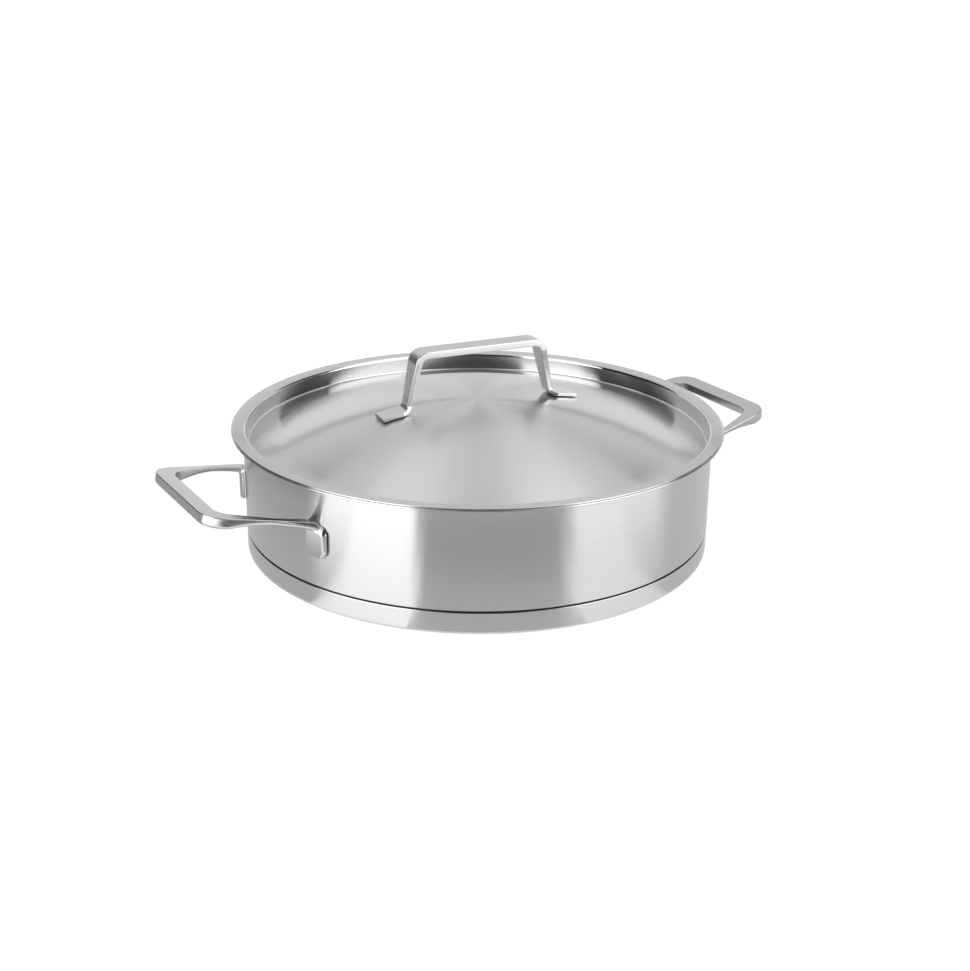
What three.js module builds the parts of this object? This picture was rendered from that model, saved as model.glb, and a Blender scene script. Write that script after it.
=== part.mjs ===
// Low casserole pot in brushed stainless steel, with its lid on.
// Millimetres, +Z up. The origin is the centre of the underside. +X runs along the two side handles.

import * as THREE from 'three';

// Pot shell
const POT_INNER_RADIUS = 140;
const POT_SHEET = 1;
const LIP_TOP_HEIGHT = 75.2;
const LIP_OVERHANG = 7;
const LIP_BEND_RADIUS = 1.5;
const FLOOR_CORNER_RADIUS = 6;

// Capsule base: a steel cap pressed round an aluminium core
const CAP_SHEET = 0.7;
const CAP_RIM_RISE = 1.2;
const CAP_EDGE_RADIUS = 2.4;
const CORE_THICKNESS = 5.3;
const CORE_EDGE_SETBACK = 1;
const GROOVE_HEIGHT = 0.8;
const GROOVE_SHOULDER = 0.4;

// Lid: one sheet with a flange on the lip, a sunk wall, a flat border and a dome
const LID_SHEET = 0.8;
const LID_FLANGE_SETBACK = 0.8;
const LID_SUNK_DEPTH = 11;
const LID_FILLET_RADIUS = 1.2;
const LID_BORDER_WIDTH = 12;
const LID_DOME_RADIUS = 348;

// Side handles: a bent bar, wide at the grip, thin at the wall, with flattened tabs
const HANDLE_REACH = 50.6;
const HANDLE_TILT = THREE.MathUtils.degToRad(10.4);
const GRIP_BELOW_LIP = 10.9;
const GRIP_WIDTH = 10;
const GRIP_THICKNESS = 6.3;
const GRIP_SPAN = 87;
const GRIP_BEND_SETBACK = 7.5;
const ELBOW_WIDTH = 11.6;
const ARM_WIDTH = 4;
const ARM_THICKNESS = 3.1;
const ARM_BEND_SETBACK = 6;
const TAB_SPREAD = THREE.MathUtils.degToRad(21.4);
const TAB_WIDTH = 15.5;
const TAB_THICKNESS = 3;
const TAB_STRAIGHT = 9;
const TAB_CORNER_RADIUS = 6;
const TAB_NARROWING = 0.8; // share of the bend in which the tab narrows to the arm

// Lid handle: a bent strap with feet turned out on the dome
const LID_HANDLE_TURN = THREE.MathUtils.degToRad(-5.7);
const LID_HANDLE_RISE = 34;
const STRAP_LENGTH = 83;
const STRAP_WIDTH = 12.8;
const STRAP_THICKNESS = 4.2;
const STRAP_BEND_SETBACK = 7.5;
const LEG_SPREAD = 6.2;
const LEG_WIDTH = 9.2;
const LEG_THICKNESS = 3;
const LID_FOOT_LENGTH = 16;
const LID_FOOT_WIDTH = 14;
const LID_FOOT_THICKNESS = 2.2;
const LID_FOOT_BEND_SETBACK = 3;

// Fits and edges
const WELD_GAP = 0.3;
const LID_CLEARANCE = 0.4;
const CAP_CLEARANCE = 0.3;
const BAR_EDGE_RADIUS = 0.9;

// Facets
const TURN_STEPS = 64;
const ARC_STEPS = 3;
const DOME_STEPS = 7;
const BEND_STEPS = 5;

// Values that follow from the sizes above
const POT_OUTER_RADIUS = POT_INNER_RADIUS + POT_SHEET;
const LIP_RADIUS = POT_OUTER_RADIUS + LIP_OVERHANG;
const CORE_BOTTOM = CAP_SHEET;
const CORE_TOP = CORE_BOTTOM + CORE_THICKNESS;
const CAP_INNER_RADIUS = POT_OUTER_RADIUS - CAP_SHEET;
const CAP_HEIGHT = CORE_TOP + FLOOR_CORNER_RADIUS + CAP_RIM_RISE;
const SEAT_RADIUS = CAP_INNER_RADIUS - CAP_CLEARANCE;
const FLOOR_RADIUS = SEAT_RADIUS - FLOOR_CORNER_RADIUS;
const GROOVE_TOP = CAP_HEIGHT + GROOVE_HEIGHT;
const LID_WALL_OUTER_RADIUS = POT_INNER_RADIUS - LID_CLEARANCE;
const LID_WALL_INNER_RADIUS = LID_WALL_OUTER_RADIUS - LID_SHEET;
const LID_FLANGE_RADIUS = LIP_RADIUS - LID_FLANGE_SETBACK;
const LID_BORDER_TOP = LIP_TOP_HEIGHT + LID_SHEET - LID_SUNK_DEPTH;
const DOME_EDGE_RADIUS = LID_WALL_INNER_RADIUS - LID_BORDER_WIDTH;
const DOME_CENTRE_HEIGHT = LID_BORDER_TOP - Math.sqrt(LID_DOME_RADIUS ** 2 - DOME_EDGE_RADIUS ** 2);
const DOME_APEX_HEIGHT = DOME_CENTRE_HEIGHT + LID_DOME_RADIUS;

const BRUSHED_STEEL = { color: 0xc9cac8, metalness: 1, roughness: 0.32 };
const SATIN_STEEL = { color: 0xbfc0bf, metalness: 1, roughness: 0.38 };
const ALUMINIUM = { color: 0xb4b6b8, metalness: 1, roughness: 0.55 };

function namedMesh(name, geometry, finish) {
  const mesh = new THREE.Mesh(geometry, new THREE.MeshStandardMaterial(finish));
  mesh.name = name;
  return mesh;
}

// Evenly spaced numbers from one value to another, both included
function spaced(from, to, steps) {
  return Array.from({ length: steps + 1 }, (_, i) => from + ((to - from) * i) / steps);
}

// Arc in a profile of radii and heights, from one angle to another in degrees
function arc(radius, height, size, from, to, steps = ARC_STEPS) {
  return spaced(from, to, steps).map((degrees) => {
    const angle = THREE.MathUtils.degToRad(degrees);
    return [radius + size * Math.cos(angle), height + size * Math.sin(angle)];
  });
}

// Solid turned about the Z axis from a profile that starts and ends on that axis
function turned(profile) {
  const points = profile.map(([radius, height]) => new THREE.Vector2(radius, height));
  return new THREE.LatheGeometry(points, TURN_STEPS).rotateX(Math.PI / 2);
}

// Drawn shell: floor, corner that sits in the base cap, wall and outward lip
function potBody() {
  const cornerHeight = CORE_TOP + FLOOR_CORNER_RADIUS;
  const bendRadius = POT_INNER_RADIUS + LIP_BEND_RADIUS;
  const bendHeight = LIP_TOP_HEIGHT - LIP_BEND_RADIUS;
  const edge = POT_SHEET / 2;
  return turned([
    [0, CORE_TOP],
    ...arc(FLOOR_RADIUS, cornerHeight, FLOOR_CORNER_RADIUS, -90, 0),
    [SEAT_RADIUS, GROOVE_TOP],
    [POT_OUTER_RADIUS, GROOVE_TOP + GROOVE_SHOULDER],
    ...arc(bendRadius, bendHeight, LIP_BEND_RADIUS - POT_SHEET, 180, 90),
    ...arc(LIP_RADIUS - edge, LIP_TOP_HEIGHT - edge, edge, -90, 90),
    ...arc(bendRadius, bendHeight, LIP_BEND_RADIUS, 90, 180),
    [POT_INNER_RADIUS, GROOVE_TOP + GROOVE_SHOULDER + POT_SHEET],
    [SEAT_RADIUS - POT_SHEET, GROOVE_TOP + POT_SHEET],
    ...arc(FLOOR_RADIUS, cornerHeight, FLOOR_CORNER_RADIUS - POT_SHEET, 0, -90),
    [0, CORE_TOP + POT_SHEET],
  ]);
}

function baseCore() {
  const radius = FLOOR_RADIUS - CORE_EDGE_SETBACK;
  return turned([
    [0, CORE_BOTTOM],
    [radius, CORE_BOTTOM],
    [radius, CORE_TOP],
    [0, CORE_TOP],
  ]);
}

function baseCap() {
  const edgeRadius = POT_OUTER_RADIUS - CAP_EDGE_RADIUS;
  const rim = CAP_SHEET / 2;
  return turned([
    [0, 0],
    ...arc(edgeRadius, CAP_EDGE_RADIUS, CAP_EDGE_RADIUS, -90, 0),
    ...arc(POT_OUTER_RADIUS - rim, CAP_HEIGHT - rim, rim, 0, 180),
    ...arc(edgeRadius, CAP_EDGE_RADIUS, CAP_EDGE_RADIUS - CAP_SHEET, 0, -90),
    [0, CAP_SHEET],
  ]);
}

function lidShell() {
  const bendRadius = LID_WALL_OUTER_RADIUS + LIP_BEND_RADIUS;
  const bendHeight = LIP_TOP_HEIGHT - LIP_BEND_RADIUS;
  const filletRadius = LID_WALL_INNER_RADIUS - LID_FILLET_RADIUS;
  const filletHeight = LID_BORDER_TOP + LID_FILLET_RADIUS;
  const edge = LID_SHEET / 2;
  const edgeAngle = THREE.MathUtils.radToDeg(Math.acos(DOME_EDGE_RADIUS / LID_DOME_RADIUS));
  const underside = arc(0, DOME_CENTRE_HEIGHT, LID_DOME_RADIUS - LID_SHEET, 90, edgeAngle, DOME_STEPS);
  const outside = arc(0, DOME_CENTRE_HEIGHT, LID_DOME_RADIUS, edgeAngle, 90, DOME_STEPS);
  return turned([
    [0, DOME_APEX_HEIGHT - LID_SHEET],
    ...underside.slice(1),
    ...arc(filletRadius, filletHeight, LID_FILLET_RADIUS + LID_SHEET, -90, 0),
    ...arc(bendRadius, bendHeight, LIP_BEND_RADIUS, 180, 90),
    ...arc(LID_FLANGE_RADIUS - edge, LIP_TOP_HEIGHT + edge, edge, -90, 90),
    ...arc(bendRadius, bendHeight, LIP_BEND_RADIUS + LID_SHEET, 90, 180),
    ...arc(filletRadius, filletHeight, LID_FILLET_RADIUS, 0, -90),
    ...outside.slice(0, -1),
    [0, DOME_APEX_HEIGHT],
  ]);
}

// Straight runs joined by bends, each of which starts and ends at its setback from the corner
function bentPath(corners, setbacks) {
  const path = new THREE.CurvePath();
  let runStart = corners[0];
  setbacks.forEach((setback, i) => {
    const [before, corner, after] = corners.slice(i, i + 3);
    const bendStart = corner.clone().lerp(before, setback / corner.distanceTo(before));
    const bendEnd = corner.clone().lerp(after, setback / corner.distanceTo(after));
    path.add(new THREE.LineCurve3(runStart, bendStart));
    path.add(new THREE.QuadraticBezierCurve3(bendStart, corner, bendEnd));
    runStart = bendEnd;
  });
  path.add(new THREE.LineCurve3(runStart, corners.at(-1)));
  return path;
}

// Section of a bar whose outer face follows the path: a rectangle with rounded edges
function barSection(path, { at, width, thickness, acrossFor }) {
  const along = at / path.getLength();
  const tangent = path.getTangent(along);
  const across = acrossFor(tangent).normalize();
  const outward = tangent.clone().cross(across).normalize();
  const middle = path.getPoint(along).addScaledVector(outward, -thickness / 2);
  const edge = Math.min(BAR_EDGE_RADIUS, thickness / 3, width / 3);
  const quarters = [[1, 1, 0], [-1, 1, 90], [-1, -1, 180], [1, -1, 270]];
  return quarters.flatMap(([x, y, from]) => arc(
    x * (width / 2 - edge),
    y * (thickness / 2 - edge),
    edge,
    from,
    from + 90,
    2,
  )).map(([x, y]) => middle.clone().addScaledVector(across, x).addScaledVector(outward, y));
}

// Bar through stations that are given from one end to the middle, the other half being its mirror image
function bentBar(path, halfStations, mirrored) {
  const length = path.getLength();
  const farStations = halfStations.map((station) => ({
    ...station,
    at: length - station.at,
    acrossFor: mirrored(station.acrossFor),
  }));
  const stations = [...halfStations, ...farStations.reverse()];
  const rings = stations.map((station) => barSection(path, station));
  const count = rings[0].length;
  const last = (rings.length - 1) * count;
  const faces = [];
  for (let ring = 0; ring < last; ring += count) {
    for (let i = 0; i < count; i += 1) {
      const next = (i + 1) % count;
      faces.push(ring + i, ring + next, ring + count + next);
      faces.push(ring + i, ring + count + next, ring + count + i);
    }
  }
  for (let i = 1; i < count - 1; i += 1) {
    faces.push(0, i + 1, i);
    faces.push(last, last + i, last + i + 1);
  }
  const positions = rings.flat().flatMap((point) => point.toArray());
  const geometry = new THREE.BufferGeometry();
  geometry.setAttribute('position', new THREE.Float32BufferAttribute(positions, 3));
  geometry.setIndex(faces);
  geometry.computeVertexNormals();
  return geometry;
}

// Handle at the +X side. Its top face rises away from the pot, and turns down to lie against the wall.
function sideHandle() {
  const reach = POT_OUTER_RADIUS + HANDLE_REACH;
  const heightAt = (x) => LIP_TOP_HEIGHT - GRIP_BELOW_LIP - (reach - x) * Math.tan(HANDLE_TILT);
  const topFace = new THREE.Vector3(-Math.sin(HANDLE_TILT), 0, Math.cos(HANDLE_TILT));
  const tabOutward = new THREE.Vector3(Math.cos(TAB_SPREAD), -Math.sin(TAB_SPREAD), 0);
  const tabAcross = new THREE.Vector3(Math.sin(TAB_SPREAD), Math.cos(TAB_SPREAD), 0);

  const tabCorner = Math.min(TAB_CORNER_RADIUS, TAB_WIDTH / 2.5);
  const tabDrop = ARM_BEND_SETBACK + TAB_STRAIGHT + tabCorner;
  const armFoot = tabOutward.multiplyScalar(POT_OUTER_RADIUS + WELD_GAP);
  armFoot.z = heightAt(armFoot.x);
  const tabEnd = armFoot.clone().setZ(armFoot.z - tabDrop);
  const gripX = reach - (GRIP_WIDTH / 2) * Math.cos(HANDLE_TILT);
  const gripEnd = new THREE.Vector3(gripX, -(GRIP_SPAN - GRIP_WIDTH) / 2, heightAt(gripX));
  const armAcross = topFace.clone().cross(gripEnd.clone().sub(armFoot)).normalize();

  const nearHalf = [tabEnd, armFoot, gripEnd];
  const farHalf = nearHalf.map(({ x, y, z }) => new THREE.Vector3(x, -y, z)).reverse();
  const setbacks = [ARM_BEND_SETBACK, GRIP_BEND_SETBACK, GRIP_BEND_SETBACK, ARM_BEND_SETBACK];
  const path = bentPath([...nearHalf, ...farHalf], setbacks);
  const [tabTop, armStart, armEnd, gripStart] = path.getCurveLengths();

  const roundedEnd = spaced(0, Math.PI / 2, ARC_STEPS).map((angle) => ({
    at: tabCorner * (1 - Math.cos(angle)),
    width: TAB_WIDTH - 2 * tabCorner * (1 - Math.sin(angle)),
    thickness: TAB_THICKNESS,
    acrossFor: () => tabAcross.clone(),
  }));
  const tabBend = spaced(tabTop, armStart, BEND_STEPS).map((at) => {
    const turn = (at - tabTop) / (armStart - tabTop);
    const narrowing = Math.min(1, turn / TAB_NARROWING) ** 1.5;
    return {
      at,
      width: THREE.MathUtils.lerp(TAB_WIDTH, ARM_WIDTH, narrowing),
      thickness: THREE.MathUtils.lerp(TAB_THICKNESS, ARM_THICKNESS, turn),
      acrossFor: () => tabAcross.clone().lerp(armAcross, turn),
    };
  });
  const arm = spaced(armStart, armEnd, ARC_STEPS).slice(1).map((at) => {
    const growth = (at - armStart) / (armEnd - armStart);
    return {
      at,
      width: THREE.MathUtils.lerp(ARM_WIDTH, ELBOW_WIDTH, growth),
      thickness: THREE.MathUtils.lerp(ARM_THICKNESS, GRIP_THICKNESS, growth ** 2),
      acrossFor: () => armAcross.clone(),
    };
  });
  const elbow = spaced(armEnd, gripStart, BEND_STEPS).slice(1).map((at) => ({
    at,
    width: THREE.MathUtils.mapLinear(at, armEnd, gripStart, ELBOW_WIDTH, GRIP_WIDTH),
    thickness: GRIP_THICKNESS,
    acrossFor: (tangent) => topFace.clone().cross(tangent),
  }));
  const flipped = (vector) => vector.clone().multiply(new THREE.Vector3(1, -1, 1));
  const mirrored = (acrossFor) => (tangent) => flipped(acrossFor(flipped(tangent).negate()));
  return bentBar(path, [...roundedEnd, ...tabBend, ...arm, ...elbow], mirrored);
}

// Strap in the XZ plane: foot on the dome, leg that leans in, flat top
function lidHandle() {
  const legFoot = STRAP_LENGTH / 2 + LEG_SPREAD;
  const footMiddle = legFoot + LID_FOOT_LENGTH / 2;
  const slope = Math.asin(footMiddle / LID_DOME_RADIUS);
  const footLine = new THREE.Vector3(Math.cos(slope), 0, -Math.sin(slope));
  const footTop = new THREE.Vector3(Math.sin(slope), 0, Math.cos(slope))
    .multiplyScalar(LID_DOME_RADIUS + WELD_GAP + LID_FOOT_THICKNESS)
    .add(new THREE.Vector3(0, 0, DOME_CENTRE_HEIGHT));
  const footEnd = footTop.clone().addScaledVector(footLine, LID_FOOT_LENGTH / 2);
  const legBase = footTop.clone().addScaledVector(footLine, -LID_FOOT_LENGTH / 2);
  const strapEnd = new THREE.Vector3(STRAP_LENGTH / 2, 0, DOME_APEX_HEIGHT + LID_HANDLE_RISE);

  const nearHalf = [footEnd, legBase, strapEnd];
  const farHalf = nearHalf.map(({ x, y, z }) => new THREE.Vector3(-x, y, z)).reverse();
  const setbacks = [LID_FOOT_BEND_SETBACK, STRAP_BEND_SETBACK, STRAP_BEND_SETBACK, LID_FOOT_BEND_SETBACK];
  const path = bentPath([...nearHalf, ...farHalf], setbacks);
  const [footRun, legStart, legEnd, strapStart] = path.getCurveLengths();

  const acrossFor = () => new THREE.Vector3(0, -1, 0);
  const foot = { at: 0, width: LID_FOOT_WIDTH, thickness: LID_FOOT_THICKNESS, acrossFor };
  const footBend = spaced(footRun, legStart, BEND_STEPS).map((at) => {
    const turn = (at - footRun) / (legStart - footRun);
    return {
      at,
      width: THREE.MathUtils.lerp(LID_FOOT_WIDTH, LEG_WIDTH, turn),
      thickness: THREE.MathUtils.lerp(LID_FOOT_THICKNESS, LEG_THICKNESS, turn),
      acrossFor,
    };
  });
  const strap = spaced(legEnd, strapStart, BEND_STEPS).map((at) => ({
    at,
    width: STRAP_WIDTH,
    thickness: STRAP_THICKNESS,
    acrossFor,
  }));
  return bentBar(path, [foot, ...footBend, ...strap], () => acrossFor);
}

const pot = new THREE.Group();
pot.add(
  namedMesh('pot_body', potBody(), BRUSHED_STEEL),
  namedMesh('base_core', baseCore(), ALUMINIUM),
  namedMesh('base_cap', baseCap(), BRUSHED_STEEL),
);
['side_handle_right', 'side_handle_left'].forEach((name, i) => {
  const handle = namedMesh(name, sideHandle(), SATIN_STEEL);
  handle.rotation.z = i * Math.PI;
  pot.add(handle);
});

const lid = new THREE.Group();
lid.add(namedMesh('lid_shell', lidShell(), BRUSHED_STEEL));
const strapHandle = namedMesh('lid_handle', lidHandle(), SATIN_STEEL);
strapHandle.rotation.z = LID_HANDLE_TURN;
lid.add(strapHandle);

const casserole = new THREE.Group();
casserole.add(pot, lid);

export default casserole;
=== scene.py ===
"""Low stainless casserole pot with its lid on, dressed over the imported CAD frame.

Metres, +Z up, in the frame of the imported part: the origin is the centre of the underside and
+X runs along the two side handles. The sizes in the classes are in millimetres, as on a
workshop drawing, and those of the studio are in metres.
"""

import logging
import math
from dataclasses import dataclass, field, replace
from enum import Enum
from typing import Any, Iterable, Optional

import bmesh
import bpy
from mathutils import Matrix, Quaternion, Vector


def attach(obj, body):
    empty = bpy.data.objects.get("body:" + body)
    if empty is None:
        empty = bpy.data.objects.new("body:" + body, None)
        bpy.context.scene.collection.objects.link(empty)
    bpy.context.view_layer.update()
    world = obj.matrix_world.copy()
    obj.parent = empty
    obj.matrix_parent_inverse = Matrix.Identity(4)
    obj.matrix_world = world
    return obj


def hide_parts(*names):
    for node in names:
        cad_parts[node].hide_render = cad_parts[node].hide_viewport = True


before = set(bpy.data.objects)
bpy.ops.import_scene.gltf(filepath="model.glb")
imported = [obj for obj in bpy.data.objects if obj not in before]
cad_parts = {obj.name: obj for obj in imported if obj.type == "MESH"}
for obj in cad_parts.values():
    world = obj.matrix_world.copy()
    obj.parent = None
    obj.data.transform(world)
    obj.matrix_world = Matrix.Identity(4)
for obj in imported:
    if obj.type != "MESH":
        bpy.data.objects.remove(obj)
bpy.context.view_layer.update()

LOG = logging.getLogger("casserole")
MM = 0.001
UP = Vector((0.0, 0.0, 1.0))
WHITE = (1.0, 1.0, 1.0, 1.0)

# Shading breaks at edges that turn by more than this.
SHARP_ANGLE = math.radians(50)
MERGE_DISTANCE = 1e-7
# Share of a sheet's thickness that the rounding of a cut edge takes.
EDGE_SHARE = 0.48

# Blender's noise keeps mostly between these two values.
NOISE_LOW = 0.3
NOISE_HIGH = 0.7
NOISE_DETAIL = 2.0
BUMP_STRENGTH = 0.5
# Turns the smear of a reflection from along the polishing lines to across them.
QUARTER_TURN = 0.25
# Radius at which a polishing streak has its stated length.
STREAK_RADIUS_MM = 140.0


class Body(Enum):
    """Bodies of the frame that pieces ride on."""

    POT = "pot"
    LID = "lid"


class Slot(Enum):
    """Names of material slots. Nothing in this script gives them to the pieces."""

    SHELL = "brushed_shell"
    HANDLE = "satin_handle"


class Grain(Enum):
    """Which way the polishing lines of a metal surface run."""

    TURNED = "in rings about the pot's axis"
    PLAIN = "no way that shows"


def linear(hex_code: str) -> tuple[float, float, float, float]:
    """Turns an sRGB hex colour to the linear colour that Blender's sockets take.

    Args:
        hex_code: Six hex digits.

    Returns:
        Linear red, green and blue, and an alpha of 1.
    """
    channels = [int(hex_code[i:i + 2], 16) / 255 for i in (0, 2, 4)]
    return (*[c / 12.92 if c <= 0.04045 else ((c + 0.055) / 1.055) ** 2.4 for c in channels], 1.0)


def add_node(
    tree: bpy.types.NodeTree,
    kind: str,
    settings: Optional[dict[str, Any]] = None,
    inputs: Optional[dict[Any, Any]] = None,
) -> bpy.types.Node:
    """Adds a node to a tree, with its settings and what goes into its sockets.

    Args:
        tree: The node tree of a material or of the world.
        kind: The node's type name.
        settings: Attributes to set on the node.
        inputs: Input names or numbers, each with a value or with the output socket to link to it.

    Returns:
        The new node.
    """
    node = tree.nodes.new(kind)
    for name, value in (settings or {}).items():
        setattr(node, name, value)
    for key, value in (inputs or {}).items():
        if isinstance(value, bpy.types.NodeSocket):
            tree.links.new(value, node.inputs[key])
        else:
            node.inputs[key].default_value = value
    return node


@dataclass(frozen=True)
class MetalFinish:
    """A metal surface after one way of finishing it.

    A lathe-brushed sheet has fine rings cut by the abrasive. They smear a reflection across the
    rings and keep it sharp along them, so a wall shows upright bars of light and a lid a fan.
    """

    name: str
    colour: str = "d0d0cf"
    roughness: float = 0.3
    roughness_swing: float = 0.03
    anisotropy: float = 0.0
    grain: Grain = Grain.PLAIN
    line_mm: float = 0.9
    streak_mm: float = 30.0
    relief_mm: float = 0.002
    shade_swing: float = 0.04

    def material(self) -> bpy.types.Material:
        """Makes the finish as a material, the first time that it is asked for.

        Returns:
            The material.
        """
        known = bpy.data.materials.get(self.name)
        if known:
            return known
        material = bpy.data.materials.new(self.name)
        material.use_nodes = True
        tree = material.node_tree
        tree.nodes.clear()
        coordinates = add_node(tree, "ShaderNodeTexCoord").outputs["Object"]
        lines = self._lines(tree, coordinates)
        roughness = add_node(tree, "ShaderNodeMapRange", inputs={
            "Value": lines,
            "From Min": NOISE_LOW,
            "From Max": NOISE_HIGH,
            "To Min": self.roughness - self.roughness_swing,
            "To Max": self.roughness + self.roughness_swing,
        })
        shade = linear(self.colour)
        darker = tuple(c * (1 - self.shade_swing) for c in shade[:3]) + (1.0,)
        colour = add_node(tree, "ShaderNodeMix", {"data_type": "RGBA"}, {
            "Factor": lines,
            "A": darker,
            "B": shade,
        })
        relief = add_node(tree, "ShaderNodeBump", inputs={
            "Strength": BUMP_STRENGTH,
            "Distance": self.relief_mm * MM,
            "Height": lines,
        })
        shader = add_node(tree, "ShaderNodeBsdfPrincipled", inputs={
            "Base Color": colour.outputs["Result"],
            "Metallic": 1.0,
            "Roughness": roughness.outputs["Result"],
            "Normal": relief.outputs["Normal"],
        })
        if self.grain is Grain.TURNED:
            shader.inputs["Anisotropic"].default_value = self.anisotropy
            shader.inputs["Anisotropic Rotation"].default_value = QUARTER_TURN
            rings = add_node(tree, "ShaderNodeVectorMath", {"operation": "CROSS_PRODUCT"}, {
                0: UP,
                1: coordinates,
            })
            tree.links.new(rings.outputs["Vector"], shader.inputs["Tangent"])
        add_node(tree, "ShaderNodeOutputMaterial", inputs={"Surface": shader.outputs["BSDF"]})
        return material

    def _lines(
        self,
        tree: bpy.types.NodeTree,
        coordinates: bpy.types.NodeSocket,
    ) -> bpy.types.NodeSocket:
        """Adds the polishing lines as a noise, drawn out along the rings of a turned surface.

        Args:
            tree: The material's node tree.
            coordinates: Object coordinates, in metres.

        Returns:
            A socket with values from 0 to 1.
        """
        # Real polishing lines are too fine to show, so these are drawn coarser.
        if self.grain is Grain.PLAIN:
            cloud = add_node(tree, "ShaderNodeTexNoise", inputs={
                "Vector": coordinates,
                "Scale": 1 / (self.line_mm * MM),
                "Detail": NOISE_DETAIL,
            })
            return cloud.outputs["Fac"]
        level = add_node(tree, "ShaderNodeVectorMath", {"operation": "MULTIPLY"}, {
            0: coordinates,
            1: (1.0, 1.0, 0.0),
        })
        flat = level.outputs["Vector"]
        radius = add_node(tree, "ShaderNodeVectorMath", {"operation": "LENGTH"}, {0: flat})
        bearing = add_node(tree, "ShaderNodeVectorMath", {"operation": "NORMALIZE"}, {0: flat})
        parts = add_node(tree, "ShaderNodeSeparateXYZ", inputs={"Vector": coordinates})
        run = add_node(tree, "ShaderNodeMath", {"operation": "ADD"}, {
            0: radius.outputs["Value"],
            1: parts.outputs["Z"],
        })
        across = add_node(tree, "ShaderNodeMath", {"operation": "DIVIDE"}, {
            0: run.outputs["Value"],
            1: self.line_mm * MM,
        })
        place = add_node(tree, "ShaderNodeCombineXYZ", inputs={"Z": across.outputs["Value"]})
        turns = STREAK_RADIUS_MM / self.streak_mm
        streaks = add_node(tree, "ShaderNodeVectorMath", {"operation": "MULTIPLY_ADD"}, {
            0: bearing.outputs["Vector"],
            1: (turns, turns, 0.0),
            2: place.outputs["Vector"],
        })
        noise = add_node(tree, "ShaderNodeTexNoise", inputs={
            "Vector": streaks.outputs["Vector"],
            "Scale": 1.0,
            "Detail": NOISE_DETAIL,
        })
        return noise.outputs["Fac"]


# Stainless sheet brushed on a lathe: rings that spread light into upright bars and a fan.
BRUSHED = MetalFinish(
    name="lathe_brushed_stainless",
    roughness=0.23,
    roughness_swing=0.02,
    anisotropy=1.0,
    grain=Grain.TURNED,
    line_mm=0.25,
    relief_mm=0.06,
)
# Stainless sheet turned with a finer abrasive: dark and light blocks with clear upright ends.
FINE_TURNED = MetalFinish(
    name="fine_turned_stainless",
    roughness=0.08,
    roughness_swing=0.01,
    anisotropy=1.0,
    grain=Grain.TURNED,
    relief_mm=0.0005,
)
# Painted shade at the back of the groove: dull dark metal, so the groove shows as a thin dark line.
GROOVE_SHADE = MetalFinish(
    name="painted_groove_shade",
    colour="4a4845",
    roughness=0.6,
    line_mm=0.5,
)
# Satin-polished stainless bar: soft but clear lights and darks, and no lines that show.
SATIN = MetalFinish(
    name="satin_stainless_bar",
    colour="c4c4c3",
    roughness=0.2,
    line_mm=0.35,
    relief_mm=0.003,
)
# Stainless strap buffed with a wheel: paler and softer than the bars.
BUFFED = MetalFinish(
    name="buffed_stainless_strap",
    roughness=0.26,
    line_mm=0.35,
    relief_mm=0.001,
)
# Plain aluminium pressed flat: matt, and a little bluer than the steel round it.
DISC = MetalFinish(
    name="pressed_aluminium_disc",
    colour="a9abad",
    roughness=0.5,
    line_mm=1.2,
    relief_mm=0.02,
)


def finish_piece(
    bm: bmesh.types.BMesh,
    name: str,
    finishes: Iterable[MetalFinish],
    body: Body,
    node: str,
) -> bpy.types.Object:
    """Turns a finished bmesh into a piece that stands for a CAD node.

    Args:
        bm: The shape, in metres in the frame. It is freed.
        name: The piece's name.
        finishes: Finishes in the order of the faces' material numbers.
        body: The body that carries the piece.
        node: The CAD node that the piece replaces.

    Returns:
        The new object.
    """
    mesh = bpy.data.meshes.new(name)
    bm.to_mesh(mesh)
    bm.free()
    mesh.shade_smooth()
    mesh.set_sharp_from_angle(angle=SHARP_ANGLE)
    for metal in finishes:
        mesh.materials.append(metal.material())
    piece = bpy.data.objects.new(name, mesh)
    bpy.context.scene.collection.objects.link(piece)
    even = piece.modifiers.new("even_shading", "WEIGHTED_NORMAL")
    even.keep_sharp = True
    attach(piece, body.value)
    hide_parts(node)
    return piece


@dataclass(frozen=True)
class Corner:
    """One corner of a turned profile.

    Attributes:
        radius: Distance from the pot's axis, in millimetres.
        height: Height above the underside, in millimetres.
        setback: Where the corner's rounding starts, along each side of it.
    """

    radius: float
    height: float
    setback: float = 0.0


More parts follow.
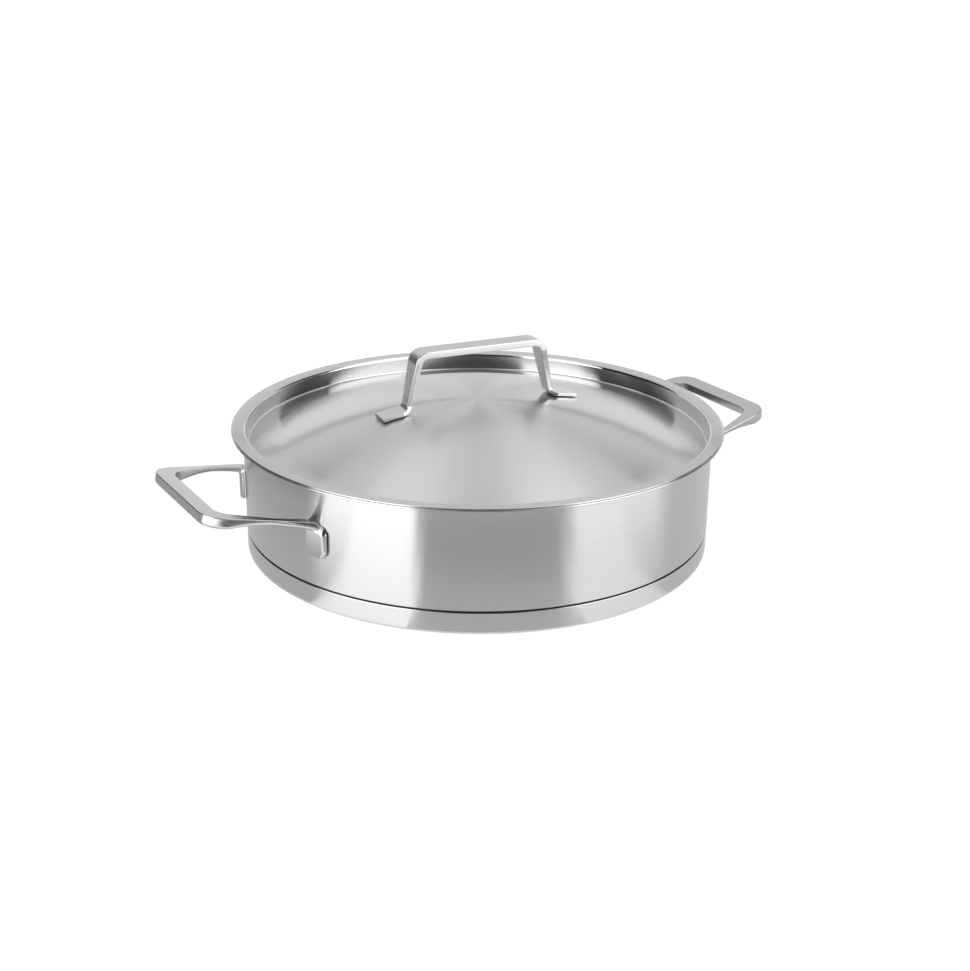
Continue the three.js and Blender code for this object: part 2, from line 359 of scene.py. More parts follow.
class TurnedPiece:
    """A sheet piece that is spun about the pot's axis from a profile of rounded corners."""

    turn_steps: int = 192
    round_steps: int = 5

    def profile(self) -> list[Corner]:
        """Returns the profile, from the axis round the sheet and back to the axis."""
        raise NotImplementedError

    def zone(self, radius: float, height: float) -> int:
        """Gives the finish number of a face.

        Args:
            radius: Distance of the face's middle from the axis, in millimetres.
            height: Height of the face's middle, in millimetres.

        Returns:
            The number of the finish in the piece's list.
        """
        return 0

    def turned(self) -> bmesh.types.BMesh:
        """Rounds the profile's corners and spins it once about the axis.

        Returns:
            A closed shape, in metres.
        """
        bm = bmesh.new()
        corners = self.profile()
        points = [bm.verts.new((c.radius * MM, 0.0, c.height * MM)) for c in corners]
        for first, second in zip(points, points[1:]):
            bm.edges.new((first, second))
        for point, corner in zip(points, corners):
            if corner.setback:
                bmesh.ops.bevel(
                    bm,
                    geom=[point],
                    offset=corner.setback * MM,
                    offset_type="OFFSET",
                    segments=self.round_steps,
                    profile=0.5,
                    affect="VERTICES",
                    material=-1,
                )
        bmesh.ops.spin(
            bm,
            geom=bm.verts[:] + bm.edges[:],
            cent=(0.0, 0.0, 0.0),
            axis=UP,
            angle=2 * math.pi,
            steps=self.turn_steps,
            use_merge=True,
        )
        bmesh.ops.remove_doubles(bm, verts=bm.verts[:], dist=MERGE_DISTANCE)
        bmesh.ops.recalc_face_normals(bm, faces=bm.faces[:])
        for face in bm.faces:
            middle = face.calc_center_median()
            face.material_index = self.zone(middle.xy.length / MM, middle.z / MM)
        return bm


@dataclass
class PotShell(TurnedPiece):
    """Drawn shell with a rounded floor corner, a straight wall and an outward lip."""

    inner_radius: float = 140.0
    sheet: float = 1.0
    floor_under: float = 6.0
    floor_round: float = 6.0
    seat_radius: float = 140.0
    groove_top: float = 14.0
    groove_shoulder: float = 0.4
    shoulder_setback: float = 0.3
    lip_top: float = 75.2
    lip_radius: float = 148.0
    lip_bend: float = 1.5
    # Reach of the painted shade at the back of the groove, in millimetres.
    shade_above: float = 0.3
    shade_inside: float = 0.2
    shade_outside: float = 0.6

    def profile(self) -> list[Corner]:
        """Draws the shell: outside up, over the lip, inside down.

        Returns:
            The corners of the profile.
        """
        outer = self.inner_radius + self.sheet
        inner_seat = self.seat_radius - self.sheet
        under_lip = self.lip_top - self.sheet
        shoulder = self.groove_top + self.groove_shoulder
        edge = self.sheet * EDGE_SHARE
        return [
            Corner(0.0, self.floor_under),
            Corner(self.seat_radius, self.floor_under, self.floor_round),
            Corner(self.seat_radius, self.groove_top),
            Corner(outer, shoulder, self.shoulder_setback),
            Corner(outer, under_lip, self.lip_bend - self.sheet),
            Corner(self.lip_radius, under_lip, edge),
            Corner(self.lip_radius, self.lip_top, edge),
            Corner(self.inner_radius, self.lip_top, self.lip_bend),
            Corner(self.inner_radius, shoulder + self.sheet, self.shoulder_setback),
            Corner(inner_seat, self.groove_top + self.sheet, self.shoulder_setback),
            Corner(inner_seat, self.floor_under + self.sheet, self.floor_round - self.sheet),
            Corner(0.0, self.floor_under + self.sheet),
        ]

    def zone(self, radius: float, height: float) -> int:
        """Gives painted shade, a dull dark metal, to the seat behind the groove, and brushed steel
        to the rest.

        Args:
            radius: Distance of the face's middle from the axis, in millimetres.
            height: Height of the face's middle, in millimetres.

        Returns:
            1 for the painted shade and 0 for brushed steel.
        """
        in_groove = self.floor_under < height < self.groove_top + self.shade_above
        seat = self.inner_radius
        on_seat = seat - self.shade_inside < radius < seat + self.shade_outside
        return 1 if in_groove and on_seat else 0

    def build(self) -> bpy.types.Object:
        """Builds the shell piece."""
        # Brushed steel, and dark metal as painted shade at the back of the groove.
        finishes = [BRUSHED, GROOVE_SHADE]
        return finish_piece(self.turned(), "pot_shell", finishes, Body.POT, "pot_body")


@dataclass
class BaseCap(TurnedPiece):
    """Steel cap of the capsule base. Its rim is the band below the groove."""

    outer_radius: float = 141.0
    sheet: float = 0.7
    rim_height: float = 13.2
    edge_round: float = 2.4

    def profile(self) -> list[Corner]:
        """Draws the cap: underside, rim, inside.

        Returns:
            The corners of the profile.
        """
        inner = self.outer_radius - self.sheet
        edge = self.sheet * EDGE_SHARE
        return [
            Corner(0.0, 0.0),
            Corner(self.outer_radius, 0.0, self.edge_round),
            Corner(self.outer_radius, self.rim_height, edge),
            Corner(inner, self.rim_height, edge),
            Corner(inner, self.sheet, self.edge_round - self.sheet),
            Corner(0.0, self.sheet),
        ]

    def build(self) -> bpy.types.Object:
        """Builds the cap piece."""
        return finish_piece(self.turned(), "base_band", [BRUSHED], Body.POT, "base_cap")


@dataclass
class LidShell(TurnedPiece):
    """Pressed lid: flange on the lip, finely turned sunk wall, flat border and shallow dome."""

    wall_outer_radius: float = 139.6
    sheet: float = 0.8
    flange_radius: float = 147.2
    lip_top: float = 75.2
    lip_bend: float = 1.5
    sunk_depth: float = 11.0
    fillet: float = 1.2
    border_width: float = 12.0
    dome_radius: float = 348.0
    dome_steps: int = 16

    @property
    def border_top(self) -> float:
        """Height of the flat border."""
        return self.lip_top + self.sheet - self.sunk_depth

    @property
    def dome_edge(self) -> float:
        """Radius at which the border turns into the dome."""
        return self.wall_outer_radius - self.sheet - self.border_width

    @property
    def dome_centre(self) -> float:
        """Height of the centre of the dome's sphere."""
        return self.border_top - math.sqrt(self.dome_radius ** 2 - self.dome_edge ** 2)

    def dome(self, radius: float) -> list[Corner]:
        """Gives points on the dome from the axis out.

        Args:
            radius: The sphere's radius, less for the underside.

        Returns:
            Points up to the edge of the dome.
        """
        widths = [self.dome_edge * i / self.dome_steps for i in range(self.dome_steps + 1)]
        return [Corner(w, self.dome_centre + math.sqrt(radius ** 2 - w ** 2)) for w in widths]

    def profile(self) -> list[Corner]:
        """Draws the lid: underside out, round the flange, and back over the dome.

        Returns:
            The corners of the profile.
        """
        wall_outer = self.wall_outer_radius
        wall_inner = wall_outer - self.sheet
        flange_top = self.lip_top + self.sheet
        edge = self.sheet * EDGE_SHARE
        return [
            *self.dome(self.dome_radius - self.sheet),
            Corner(wall_outer, self.border_top - self.sheet, self.fillet + self.sheet),
            Corner(wall_outer, self.lip_top, self.lip_bend),
            Corner(self.flange_radius, self.lip_top, edge),
            Corner(self.flange_radius, flange_top, edge),
            Corner(wall_inner, flange_top, self.lip_bend + self.sheet),
            Corner(wall_inner, self.border_top, self.fillet),
            *reversed(self.dome(self.dome_radius)),
        ]

    def zone(self, radius: float, height: float) -> int:
        """Gives the finer finish to the sunk wall, and brushed steel to the rest.

        Args:
            radius: Distance of the face's middle from the axis, in millimetres.
            height: Height of the face's middle, in millimetres.

        Returns:
            1 for the finer finish and 0 for brushed steel.
        """
        sunk = self.border_top < height < self.lip_top
        on_wall = abs(radius - self.wall_outer_radius + self.sheet) < self.sheet / 2
        return 1 if sunk and on_wall else 0

    def build(self) -> bpy.types.Object:
        """Builds the lid piece."""
        finishes = [BRUSHED, FINE_TURNED]
        return finish_piece(self.turned(), "lid_cover", finishes, Body.LID, "lid_shell")


@dataclass(frozen=True)
class Section:
    """One section of a bent bar.

    Attributes:
        top: Middle of the side that is the top of the grip, in millimetres.
        under: Middle of the opposite side.
        across: Direction of the width.
        width: Width, in millimetres.
        top_round: Rounding of the edges at the top side.
        under_round: Rounding of the edges at the opposite side.
    """

    top: Vector
    under: Vector
    across: Vector
    width: float
    top_round: float
    under_round: float

    def turned(self, matrix: Matrix) -> "Section":
        """Gives the section after a turn or a flip.

        Args:
            matrix: The turn or flip, a 3 by 3 matrix.

        Returns:
            The moved section.
        """
        return replace(
            self,
            top=matrix @ self.top,
            under=matrix @ self.under,
            across=matrix @ self.across,
        )


def bend(
    start: Vector,
    corner: Vector,
    end: Vector,
    steps: int,
    tight: bool = False,
) -> list[Vector]:
    """Rounds one corner of a route.

    Args:
        start: Where the bend starts.
        corner: The corner that it rounds.
        end: Where it ends.
        steps: Steps in the bend.
        tight: Whether it keeps close to the corner.

    Returns:
        Points from the start to the end.
    """
    power = 3 if tight else 2
    points = []
    for i in range(steps + 1):
        s = i / steps
        middle = corner * power * s * (1 - s)
        points.append(start * (1 - s) ** power + middle + end * s ** power)
    return points


class BentBar:
    """A bar that is drawn through sections from end to end.

    The roundings of a section are made smaller where they would take more than the fullest share
    of a side.
    """

    round_steps: int = 3
    fullest: float = 0.94

    def half(self) -> list[Section]:
        """Returns the sections from one end to the middle."""
        raise NotImplementedError

    def drawn(self, flip: Vector, turn: float) -> bmesh.types.BMesh:
        """Draws the bar through its sections and their mirror images.

        Args:
            flip: Signs that mirror one half to the other.
            turn: Turn of the whole bar about the pot's axis.

        Returns:
            A closed shape, in metres.
        """
        turned = Matrix.Rotation(turn, 3, "Z")
        flipped = turned @ Matrix.Diagonal(flip)
        near = self.half()
        sections = [s.turned(turned) for s in near] + [s.turned(flipped) for s in reversed(near)]
        bm = bmesh.new()
        rings = [self.ring(bm, section) for section in sections]
        for first, second in zip(rings, rings[1:]):
            bmesh.ops.bridge_loops(bm, edges=first + second)
        for end in (rings[0], rings[-1]):
            bmesh.ops.contextual_create(bm, geom=end)
        bmesh.ops.recalc_face_normals(bm, faces=bm.faces[:])
        return bm

    def ring(self, bm: bmesh.types.BMesh, section: Section) -> list[bmesh.types.BMEdge]:
        """Adds the outline of one section, a rectangle with rounded corners.

        Args:
            bm: The bar's bmesh.
            section: The section.

        Returns:
            The edges of the outline.
        """
        depth = section.top - section.under
        width = section.across.normalized() * section.width
        along = width.cross(depth).normalized()
        placed = Matrix((width * MM, depth * MM, along)).transposed().to_4x4()
        placed.translation = (section.top + section.under) / 2 * MM
        grid = bmesh.ops.create_grid(bm, x_segments=1, y_segments=1, size=0.5, matrix=placed)
        quad = grid["verts"]
        tops = [v for v in quad if (v.co - placed.translation).dot(depth) > 0]
        unders = [v for v in quad if v not in tops]
        rounds = (section.top_round, section.under_round)
        depth_room = self.fullest * depth.length / sum(rounds)
        width_room = self.fullest * section.width / 2 / max(rounds)
        room = min(1.0, depth_room, width_room)
        for corners, size in zip((tops, unders), rounds):
            bmesh.ops.bevel(
                bm,
                geom=corners,
                offset=size * room * MM,
                offset_type="OFFSET",
                segments=self.round_steps,
                profile=0.5,
                affect="VERTICES",
                material=-1,
            )
        (face,) = bm.faces
        outline = list(face.edges)
        bmesh.ops.delete(bm, geom=[face], context="FACES_ONLY")
        return outline


@dataclass
class SideHandle(BentBar):
    """Loop handle at one side: wide grip, arms that thin towards the wall, and flattened tabs.

    Attributes:
        side: 1 for the +X side and -1 for the other.
    """

    side: int
    wall_radius: float = 141.0
    weld_gap: float = 0.3
    lip_top: float = 75.2
    reach: float = 50.6
    tilt: float = math.radians(10.4)
    grip_below_lip: float = 10.9
    grip_width: float = 10.0
    grip_thickness: float = 6.3
    grip_span: float = 87.0
    outer_setback: float = 13.0
    inner_setback: float = 8.0
    outer_splay: float = 0.15
    inner_splay: float = 0.35
    arm_thickness: float = 3.1
    arm_start: float = 22.0
    foot_setback: float = 1.5
    foot_fillet: float = 1.5
    tab_spread: float = math.radians(21.4)
    tab_width: float = 15.5
    tab_thickness: float = 3.0
    tab_height: float = 21.0
    tab_corner: float = 6.0
    tab_pillow: float = 2.4
    tab_shoulder: float = 5.5
    edge_round: float = 0.5
    under_round: float = 1.8
    bend_steps: int = 12
    arm_steps: int = 10
    corner_steps: int = 10

    @property
    def neck_depth(self) -> float:
        """Height from the top plane down to where the bend starts on the tab's face."""
        return self.arm_thickness * math.cos(self.tilt) + self.foot_fillet

    @property
    def outer_edge(self) -> float:
        """Distance of the grip's outer edge from the pot's axis."""
        return self.wall_radius + self.reach

    def on_top(self, x: float, y: float) -> Vector:
        """Returns the point of the handle's sloping top plane at x and y."""
        edge_top = self.lip_top - self.grip_below_lip
        return Vector((x, y, edge_top - (self.outer_edge - x) * math.tan(self.tilt)))

    def half(self) -> list[Section]:
        """Draws the handle from the tab at -Y to the middle of the grip, on the +X side.

        Returns:
            The sections in order.
        """
        down = Vector((math.sin(self.tilt), 0.0, -math.cos(self.tilt)))
        outward = Vector((math.cos(self.tab_spread), -math.sin(self.tab_spread), 0.0))
        tab_across = Vector((math.sin(self.tab_spread), math.cos(self.tab_spread), 0.0))

        outer_corner = self.on_top(self.outer_edge, -self.grip_span / 2)
        inner_x = self.outer_edge - self.grip_width * math.cos(self.tilt)
        splayed = self.outer_splay * (self.outer_edge - inner_x)
        inner_corner = self.on_top(inner_x, -self.grip_span / 2 - splayed + self.grip_width)
        foot = outward * (self.wall_radius + self.weld_gap)
        foot = self.on_top(foot.x, foot.y)
        arm_x = foot.x + self.arm_start
        outer_y = outer_corner.y - self.outer_splay * (outer_corner.x - arm_x)
        inner_y = inner_corner.y - self.inner_splay * (inner_corner.x - arm_x)
        outer_start = self.on_top(arm_x, outer_y)
        inner_start = self.on_top(arm_x, inner_y)

        sections = self._tab(foot, outward, tab_across)
        arm_middle = (outer_start + inner_start) / 2
        arm_across = inner_start - outer_start
        face = foot + outward * self.tab_thickness
        hollow = face + down * self.arm_thickness
        tops = bend(foot - UP * self.foot_setback, foot, arm_middle, self.bend_steps, tight=True)
        unders = bend(
            face - UP * self.neck_depth,
            hollow,
            arm_middle + down * self.arm_thickness,
            self.bend_steps,
            tight=True,
        )
        neck = self.tab_width - self.tab_shoulder
        for i, (top, under) in enumerate(zip(tops, unders)):
            share = i / self.bend_steps
            width = neck + (arm_across.length - neck) * share
            across = tab_across.lerp(arm_across.normalized(), share)
            pillow = self.tab_pillow + (self.under_round - self.tab_pillow) * share
            shift = tab_across * ((self.tab_width - width) / 2 * (1 - share))
            ends = (top + shift, under + shift)
            sections.append(Section(*ends, across, width, self.edge_round, pillow))

        outer_way = (outer_start - outer_corner).normalized()
        inner_way = (inner_start - inner_corner).normalized()
        outer_end = outer_corner + outer_way * self.outer_setback
        inner_end = inner_corner + inner_way * self.inner_setback
        for i in range(1, self.arm_steps):
            share = i / self.arm_steps
            depth = self.arm_thickness + (self.grip_thickness - self.arm_thickness) * share ** 2
            outer = outer_start.lerp(outer_end, share)
            inner = inner_start.lerp(inner_end, share)
            sections.append(self._flat(outer, inner, down * depth))

        along = Vector((0.0, 1.0, 0.0))
        outer_stop = outer_corner + along * self.outer_setback
        inner_stop = inner_corner + along * self.inner_setback
        outers = bend(outer_end, outer_corner, outer_stop, self.bend_steps)
        inners = bend(inner_end, inner_corner, inner_stop, self.bend_steps)
        for outer, inner in zip(outers, inners):
            sections.append(self._flat(outer, inner, down * self.grip_thickness))
        return sections

    def _tab(self, foot: Vector, outward: Vector, across: Vector) -> list[Section]:
        """Draws the tab from its rounded end up to the bend.

        Args:
            foot: Where the top plane meets the wall side of the tab.
            outward: Direction away from the wall.
            across: Direction of the tab's width.

        Returns:
            Sections whose top side lies against the wall.
        """
        sections = []
        rounds = (self.edge_round, self.tab_pillow)
        for i in range(self.corner_steps + 1):
            angle = math.pi / 2 * i / self.corner_steps
            rise = self.tab_corner * (1 - math.cos(angle))
            width = self.tab_width - 2 * self.tab_corner * (1 - math.sin(angle))
            missing = max(0.0, 1 - rise / self.tab_pillow)
            depth = self.tab_thickness - self.tab_pillow * (1 - math.sqrt(1 - missing ** 2))
            top = foot + UP * (rise - self.tab_height)
            sections.append(Section(top, top + outward * depth, across, width, *rounds))
        for i in range(self.corner_steps):
            angle = math.pi / 2 * i / self.corner_steps
            lost = self.tab_shoulder * (1 - math.cos(angle))
            rise = -self.foot_setback - self.tab_shoulder * (1 - math.sin(angle))
            step = (self.neck_depth - self.foot_setback) * math.sin(angle)
            top = foot + UP * rise + across * (lost / 2)
            under = top + outward * self.tab_thickness - UP * step
            sections.append(Section(top, under, across, self.tab_width - lost, *rounds))
        return sections

    def _flat(self, outer: Vector, inner: Vector, depth: Vector) -> Section:
        """Gives a section of arm or grip.

        Args:
            outer: Point of the outer top edge.
            inner: Point of the inner top edge.
            depth: From the top side to the underside.

        Returns:
            The section between the two edges.
        """
        middle = (outer + inner) / 2
        across = inner - outer
        rounds = (self.edge_round, self.under_round)
        return Section(middle, middle + depth, across, across.length, *rounds)

    def build(self) -> bpy.types.Object:
        """Builds the handle piece.

        Returns:
            The new object.
        """
        word = "right" if self.side > 0 else "left"
        shape = self.drawn(Vector((1.0, -1.0, 1.0)), 0.0 if self.side > 0 else math.pi)
        name, node = f"loop_handle_{word}", f"side_handle_{word}"
        return finish_piece(shape, name, [SATIN], Body.POT, node)


@dataclass
class LidHandle(BentBar):
    """Strap over the dome: turned-out feet, legs that lean in, flat top."""

    turn: float = math.radians(-5.7)
    dome_radius: float = 348.0
    dome_centre: float = -259.08
    rise: float = 34.0
    strap_length: float = 83.0
    strap_width: float = 12.8
    strap_thickness: float = 4.2
    strap_setback: float = 7.5
    leg_spread: float = 6.2
    leg_width: float = 9.2
    leg_thickness: float = 3.0
    foot_length: float = 16.0
    foot_width: float = 14.0
    foot_thickness: float = 2.2
    foot_setback: float = 3.0
    weld_gap: float = 0.3
    edge_round: float = 0.5
    bend_steps: int = 12

    def half(self) -> list[Section]:
        """Draws the strap from the foot at +X to the middle, before its turn.

        Returns:
            The sections in order.
        """
        leg_foot = self.strap_length / 2 + self.leg_spread
        lean = math.asin((leg_foot + self.foot_length / 2) / self.dome_radius)
        out = Vector((math.cos(lean), 0.0, -math.sin(lean)))
        square = Vector((math.sin(lean), 0.0, math.cos(lean)))
        foot_top = square * (self.dome_radius + self.weld_gap + self.foot_thickness)
        foot_top.z += self.dome_centre
        foot_end = foot_top + out * (self.foot_length / 2)
        leg_base = foot_top - out * (self.foot_length / 2)
        strap_top = self.dome_centre + self.dome_radius + self.rise
        strap_end = Vector((self.strap_length / 2, 0.0, strap_top))
        leg = (strap_end - leg_base).normalized()
        inward = Vector((-1.0, 0.0, 0.0))
        foot_bend = bend(
            leg_base + out * self.foot_setback,
            leg_base,
            leg_base + leg * self.foot_setback,
            self.bend_steps,
        )
        strap_bend = bend(
            strap_end - leg * self.strap_setback,
            strap_end,
            strap_end + inward * self.strap_setback,
            self.bend_steps,
        )

        sections = [self._plate(foot_end, -out, self.foot_width, self.foot_thickness)]
        for i, point in enumerate(foot_bend):
            share = i / self.bend_steps
            way = (-out).lerp(leg, share).normalized()
            width = self.foot_width + (self.leg_width - self.foot_width) * share
            thickness = self.foot_thickness + (self.leg_thickness - self.foot_thickness) * share
            sections.append(self._plate(point, way, width, thickness))
        for i, point in enumerate(strap_bend):
            way = leg.lerp(inward, i / self.bend_steps).normalized()
            sections.append(self._plate(point, way, self.strap_width, self.strap_thickness))
        return sections

    def _plate(self, point: Vector, way: Vector, width: float, thickness: float) -> Section:
        """Gives a section square to the strap's line.

        Args:
            point: Middle of the outer side.
            way: Direction of the line.
            width: Width of the section.
            thickness: Thickness of the section.

        Returns:
            The section.
        """
        across = Vector((0.0, 1.0, 0.0))
        under = point - across.cross(way) * thickness
        return Section(point, under, across, width, self.edge_round, self.edge_round)

    def build(self) -> bpy.types.Object:
        """Builds the strap piece."""
        shape = self.drawn(Vector((-1.0, 1.0, 1.0)), self.turn)
        return finish_piece(shape, "lid_strap", [BUFFED], Body.LID, "lid_handle")


@dataclass(frozen=True)
class Softbox:
    """One soft lamp of the studio.

    Attributes:
        name: The lamp's name.
        bearing: Middle of the lamp in degrees to the right of the camera, seen from above the pot.
        spread: Degrees of the ring round the pot that it covers.
        low: Height of its lower edge, in metres.
        high: Height of its upper edge, in metres.
        radiance: Brightness of its face, where 1 renders white.
    """

    name: str
    bearing: float
    spread: float
    low: float
    high: float
    radiance: float


@dataclass(frozen=True)
class Card:
    """One curved card round the pot, which only reflections see. It glows at a set brightness:
    painted light where it is bright and painted shade where it is dark.

    Attributes:
        name: The card's name.
        start: Bearing of its first edge in degrees to the right of the camera.
        end: Bearing of its last edge.
        low: Elevation of its lower edge in degrees, seen from the lid.
        high: Elevation of its upper edge.
        radiance: Brightness of its face, where 1 renders white.
    """

    name: str
    start: float
    end: float
    low: float
    high: float
    radiance: float


@dataclass(frozen=True)
class Pool:
    """A glowing patch of floor in one direction from the pot, which only reflections see: painted
    light where the lamps would light the floor, and painted shade where the pot would shade it.

    The wall looks at the floor along lines from its own face, so a bearing opens with the
    distance. Each pool has three rings of floor, from the pot outwards.

    Attributes:
        name: The pool's name.
        starts: Bearing of its first edge in each ring, in degrees to the right of the camera.
        ends: Bearing of its last edge in each ring.
        radiances: Brightness in each ring, where 1 renders white.
    """

    name: str
    starts: tuple[float, float, float]
    ends: tuple[float, float, float]
    radiances: tuple[float, float, float]


@dataclass
class Studio:
    """Camera, white floor, soft lamps, and the glowing cards and floor pools of painted light and
    shade that give the metal its dark and light tones.
    """

    camera_place: tuple[float, float, float] = (-0.4510, -0.76794, 0.37715)
    camera_look: tuple[float, float, float] = (0.4765, 0.80156, -0.36118)
    camera_roll: float = math.radians(0.6125)
    camera_near: float = 0.01
    focal_pixels: float = 1550.0
    frame_pixels: float = 971.0
    sensor_mm: float = 36.0
    ring_radius: float = 1.5
    softboxes: list[Softbox] = field(default_factory=lambda: [
        Softbox("left_softbox", -51.0, 49.0, 0.05, 1.7, 2.4),
        Softbox("right_softbox", 66.0, 52.0, 0.05, 1.7, 1.7),
    ])
    # Each card glows at its radiance: painted shade where dark, painted light where bright, as the
    # two high reflector cards are.
    cards: list[Card] = field(default_factory=lambda: [
        Card("front_card", -26.0, 39.0, 14.0, 90.0, 0.03),
        Card("front_low_card", -26.0, 39.0, -4.0, 14.0, 0.15),
        Card("left_card", -112.0, -73.0, -4.0, 56.0, 0.02),
        Card("left_rear_card", -131.0, -112.0, -4.0, 42.0, 0.02),
        Card("right_card", 91.0, 112.0, 6.0, 54.0, 0.02),
        Card("right_rear_card", 112.0, 133.0, 6.0, 40.0, 0.02),
        Card("rear_card", 133.0, 229.0, 20.0, 46.0, 0.83),
        Card("rear_gap", 133.0, 229.0, 18.0, 20.0, 0.2),
        Card("left_painted_light", -100.0, -50.0, 56.0, 78.0, 1.35),
        Card("right_painted_light", 45.0, 104.0, 54.0, 78.0, 2.1),
    ])
    card_radius: float = 0.8
    card_centre: float = 0.08
    card_steps: int = 16
    sweep_steps: int = 24
    rings: tuple[float, ...] = (0.142, 0.23, 0.4, 0.8)
    # Glowing floor patches: painted pools of light, and painted shade with the pot's own shadow
    # among it.
    pools: list[Pool] = field(default_factory=lambda: [
        Pool("left_shade", (-150.0, -150.0, -150.0), (-42.0, -61.0, -71.0), (0.64, 0.52, 0.45)),
        Pool("left_pool", (-42.0, -61.0, -71.0), (-16.0, -21.0, -24.0), (1.25, 1.3, 2.6)),
        Pool("front_shade", (-16.0, -21.0, -24.0), (26.0, 34.0, 41.0), (0.66, 0.12, 2.0)),
        Pool("right_pool", (26.0, 34.0, 41.0), (52.0, 74.0, 87.0), (1.0, 0.92, 2.0)),
        Pool("rear_shade", (150.0, 150.0, 150.0), (210.0, 210.0, 210.0), (0.1, 0.35, 1.0)),
        Pool("right_shade", (52.0, 74.0, 87.0), (150.0, 150.0, 150.0), (0.7, 0.7, 0.9)),
    ])
    pool_lift: float = 0.0005
    floor_half_side: float = 8.0
    floor_drop: float = 0.0003
    floor_colour: str = "e6e6e6"
    floor_glow: float = 1.16
    floor_glow_share: float = 0.75
    surround_light: float = 0.8
    surround_shown: float = 1.0

    @property
    def camera_bearing(self) -> float:
        """Angle of the camera's place about the pot's axis, in radians from +X."""
        return math.atan2(self.camera_place[1], self.camera_place[0])

    def camera(self) -> None:
        """Places the camera where the photograph was taken from."""
        data = bpy.data.cameras.new("photo_camera")
        data.sensor_width = self.sensor_mm
        data.lens = self.focal_pixels * self.sensor_mm / self.frame_pixels
        data.clip_start = self.camera_near
        camera = bpy.data.objects.new("photo_camera", data)
        look = Vector(self.camera_look).to_track_quat("-Z", "Y")
        camera.rotation_mode = "QUATERNION"
        camera.rotation_quaternion = look @ Quaternion(UP, self.camera_roll)
        camera.location = self.camera_place
        bpy.context.scene.collection.objects.link(camera)
        bpy.context.scene.camera = camera

    def lamp(self, box: Softbox) -> None:
        """Hangs one softbox on the ring round the pot, its face towards the pot.

        Args:
            box: The lamp's place, size and brightness.
        """
        width = 2 * self.ring_radius * math.tan(math.radians(box.spread / 2))
        height = box.high - box.low
        data = bpy.data.lights.new(box.name, "AREA")
        data.shape = "RECTANGLE"
        data.size = width
        data.size_y = height
        data.energy = box.radiance * math.pi * width * height
        lamp = bpy.data.objects.new(box.name, data)
        outward = self._towards(box.bearing)
        lamp.location = outward * self.ring_radius + UP * ((box.low + box.high) / 2)
        lamp.rotation_mode = "QUATERNION"
        lamp.rotation_quaternion = (-outward).to_track_quat("-Z", "Y")
        bpy.context.scene.collection.objects.link(lamp)

    def card(self, card: Card) -> None:
        """Stands one curved card by the pot.

        Args:
            card: The card's place, size and brightness.
        """
        bm = bmesh.new()
        outward = self._towards(card.start)
        hub = UP * self.card_centre
        rise = math.radians(card.low)
        way = outward * math.cos(rise) + UP * math.sin(rise)
        bmesh.ops.spin(
            bm,
            geom=[bm.verts.new(hub + way * self.card_radius)],
            cent=hub,
            axis=UP.cross(outward),
            angle=-math.radians(card.high - card.low),
            steps=self.card_steps,
        )
        self._sweep(bm, card.name, card.end - card.start, card.radiance)

    def pool(self, pool: Pool) -> None:
        """Lays one pool on the floor, ring by ring.

        Args:
            pool: The pool's place and brightness.
        """
        lift = UP * self.pool_lift
        for i, (start, end, radiance) in enumerate(zip(pool.starts, pool.ends, pool.radiances)):
            bm = bmesh.new()
            outward = self._towards(start)
            bm.edges.new([bm.verts.new(outward * radius + lift) for radius in self.rings[i:i + 2]])
            self._sweep(bm, f"{pool.name}_{i}", end - start, radiance)

    def _towards(self, bearing: float) -> Vector:
        """Returns the level direction at a bearing in degrees to the right of the camera."""
        angle = self.camera_bearing + math.radians(bearing)
        return Vector((math.cos(angle), math.sin(angle), 0.0))

    def _sweep(self, bm: bmesh.types.BMesh, name: str, spread: float, radiance: float) -> None:
        """Sweeps a sheet round the pot's axis from its first edge and lets only reflections see it.

        Args:
            bm: The first edge. It is freed.
            name: The sheet's name.
            spread: Degrees to sweep through.
            radiance: Brightness of its face.
        """
        bmesh.ops.spin(
            bm,
            geom=bm.verts[:] + bm.edges[:],
            cent=(0.0, 0.0, 0.0),
            axis=UP,
            angle=math.radians(spread),
            steps=self.sweep_steps,
        )
        mesh = bpy.data.meshes.new(name)
        bm.to_mesh(mesh)
        bm.free()
        # Glowing sheet of one flat tone, lit by no lamp: painted light when bright and painted
        # shade when dark, which the steel turns into a bar or a block.
        material = bpy.data.materials.new(f"{name}_paper")
        material.use_nodes = True
        tree = material.node_tree
        tree.nodes.clear()
        glow = add_node(tree, "ShaderNodeEmission", inputs={"Strength": radiance})
        add_node(tree, "ShaderNodeOutputMaterial", inputs={"Surface": glow.outputs["Emission"]})
        mesh.materials.append(material)
        piece = bpy.data.objects.new(name, mesh)
        piece.visible_camera = False
        piece.visible_diffuse = False
        piece.visible_shadow = False
        bpy.context.scene.collection.objects.link(piece)

    @staticmethod
    def shown(tree: bpy.types.NodeTree) -> bpy.types.NodeSocket:
        """Adds a test for rays that show the background, straight or in metal and glass.

        Args:
            tree: The node tree of the floor or the world.

        Returns:
            A socket that is 1 for such rays and 0 for the rest.
        """
        path = add_node(tree, "ShaderNodeLightPath")
        straight = add_node(tree, "ShaderNodeMath", {"operation": "MAXIMUM"}, {
            0: path.outputs["Is Camera Ray"],
            1: path.outputs["Is Glossy Ray"],
        })
        every = add_node(tree, "ShaderNodeMath", {"operation": "MAXIMUM"}, {
            0: straight.outputs["Value"],
            1: path.outputs["Is Transmission Ray"],
        })
        return every.outputs["Value"]

    def floor(self) -> None:
        """Lays the white floor, which keeps a soft shadow under the pot."""
        bm = bmesh.new()
        bmesh.ops.create_grid(
            bm,
            x_segments=1,
            y_segments=1,
            size=self.floor_half_side,
            matrix=Matrix.Translation(-UP * self.floor_drop),
        )
        mesh = bpy.data.meshes.new("white_floor")
        bm.to_mesh(mesh)
        bm.free()
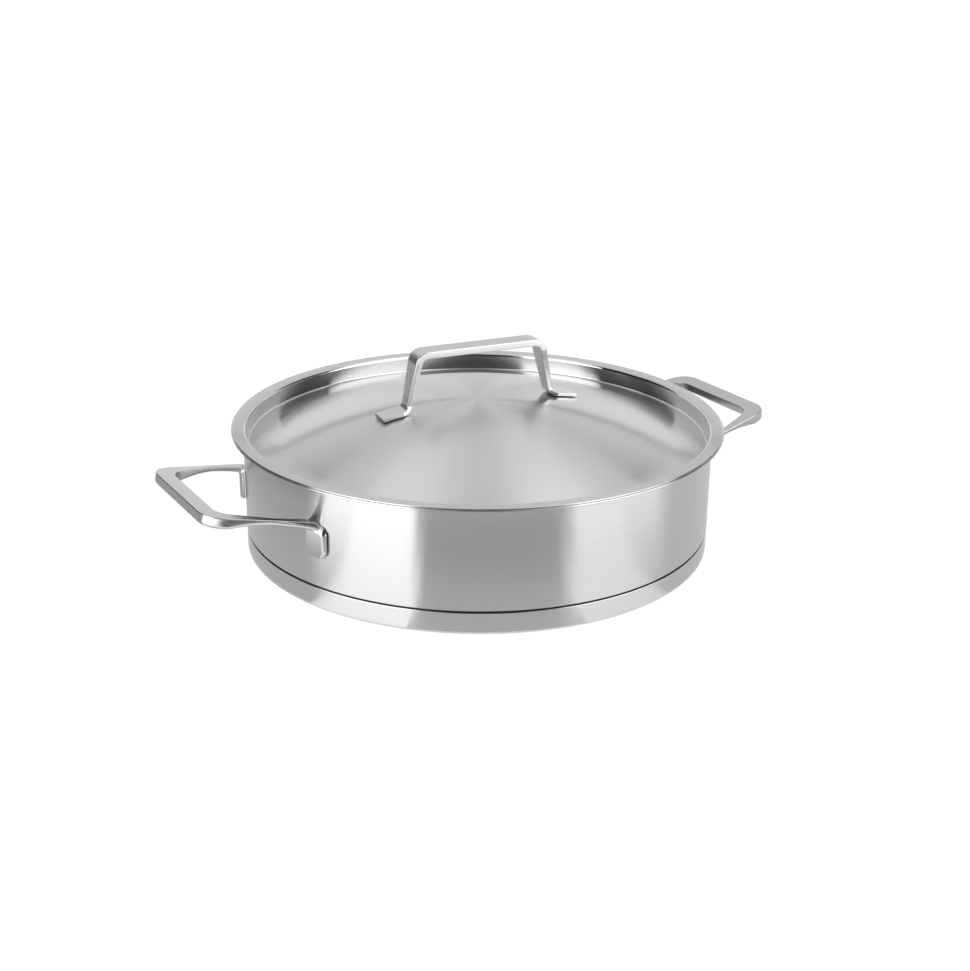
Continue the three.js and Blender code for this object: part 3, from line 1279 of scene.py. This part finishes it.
        # White background paper: matt and even, so that only the pot's soft shadow shows on it.
        material = bpy.data.materials.new("white_paper_floor")
        material.use_nodes = True
        tree = material.node_tree
        tree.nodes.clear()
        paper = add_node(tree, "ShaderNodeBsdfDiffuse", inputs={"Color": linear(self.floor_colour)})
        glow = add_node(tree, "ShaderNodeEmission", inputs={
            "Color": WHITE,
            "Strength": self.floor_glow,
        })
        share = add_node(tree, "ShaderNodeMath", {"operation": "MULTIPLY"}, {
            0: self.shown(tree),
            1: self.floor_glow_share,
        })
        both = add_node(tree, "ShaderNodeMixShader", inputs={
            0: share.outputs["Value"],
            1: paper.outputs["BSDF"],
            2: glow.outputs["Emission"],
        })
        add_node(tree, "ShaderNodeOutputMaterial", inputs={"Surface": both.outputs["Shader"]})
        mesh.materials.append(material)
        floor = bpy.data.objects.new("white_floor", mesh)
        bpy.context.scene.collection.objects.link(floor)

    def world(self) -> None:
        """Sets the white surround and the plain light that it gives the floor."""
        world = bpy.data.worlds.new("white_surround")
        world.use_nodes = True
        tree = world.node_tree
        tree.nodes.clear()
        strength = add_node(tree, "ShaderNodeMapRange", inputs={
            "Value": self.shown(tree),
            "To Min": self.surround_light,
            "To Max": self.surround_shown,
        })
        surround = add_node(tree, "ShaderNodeBackground", inputs={
            "Color": WHITE,
            "Strength": strength.outputs["Result"],
        })
        add_node(tree, "ShaderNodeOutputWorld", inputs={"Surface": surround.outputs["Background"]})
        bpy.context.scene.world = world

    def build(self) -> None:
        """Sets up the whole studio."""
        self.camera()
        self.floor()
        self.world()
        for box in self.softboxes:
            self.lamp(box)
        for card in self.cards:
            self.card(card)
        for pool in self.pools:
            self.pool(pool)
        bpy.context.scene.view_settings.view_transform = "Standard"


def dress_core() -> bpy.types.Object:
    """Gives the hidden aluminium disc, which stays as its CAD solid, its finish.

    Returns:
        The CAD node's object.
    """
    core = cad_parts["base_core"]
    core.data.materials.clear()
    core.data.materials.append(DISC.material())
    return core


def main() -> None:
    """Builds the studio and every piece of the pot in order, and reports each piece."""
    logging.basicConfig(level=logging.INFO, format="%(name)s: %(message)s")
    Studio().build()
    pieces = [
        dress_core(),
        PotShell().build(),
        BaseCap().build(),
        SideHandle(side=1).build(),
        SideHandle(side=-1).build(),
        LidShell().build(),
        LidHandle().build(),
    ]
    for piece in pieces:
        LOG.info("%s: %d faces", piece.name, len(piece.data.polygons))


if __name__ == "__main__":
    main()
